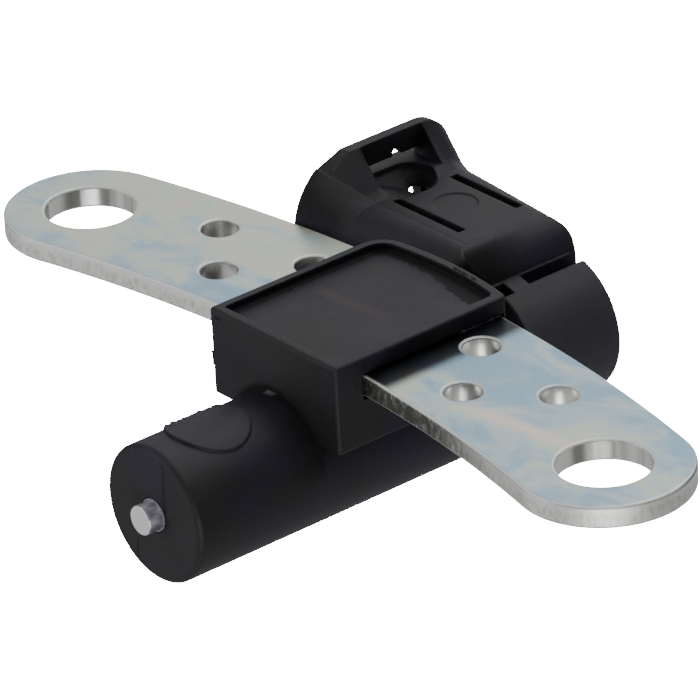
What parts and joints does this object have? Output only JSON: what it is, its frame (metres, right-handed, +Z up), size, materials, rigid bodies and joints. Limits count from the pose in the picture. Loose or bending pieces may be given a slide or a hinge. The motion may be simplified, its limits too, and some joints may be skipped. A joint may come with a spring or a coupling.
{
  "type": "crankshaft position sensor",
  "caption": "Black moulded inductive speed sensor with a pole pin, a latched side connector and a curved zinc plated steel mounting strip.",
  "frame": {"origin": "midway between the two bolt holes, on the top face of the bracket strip", "axes": "+X along the strip, away from the connector mouth; +Y from the sensing tip to the connector; +Z up, square to the strip, from the barrel side to the block's pocket side"},
  "size_m": [0.1228, 0.0745, 0.031],
  "materials": {
    "zinc_plated_steel": "pale zinc plate, soft sheen",
    "black_plastic": "satin, fine mould texture",
    "bright_steel": "ground bright",
    "pale_plastic": "natural, satin",
    "enamelled_copper": "enamelled wire",
    "dark_magnet": "dull sintered",
    "tinned_brass": "tinned, smooth"
  },
  "bodies": {
    "root": {"bracket_plate": "zinc_plated_steel", "housing": "black_plastic", "pole_pin": "bright_steel", "coil_bobbin": "pale_plastic", "coil_winding": "enamelled_copper", "magnet": "dark_magnet", "terminal_a": "tinned_brass", "terminal_b": "tinned_brass"}
  },
  "joints": []
}
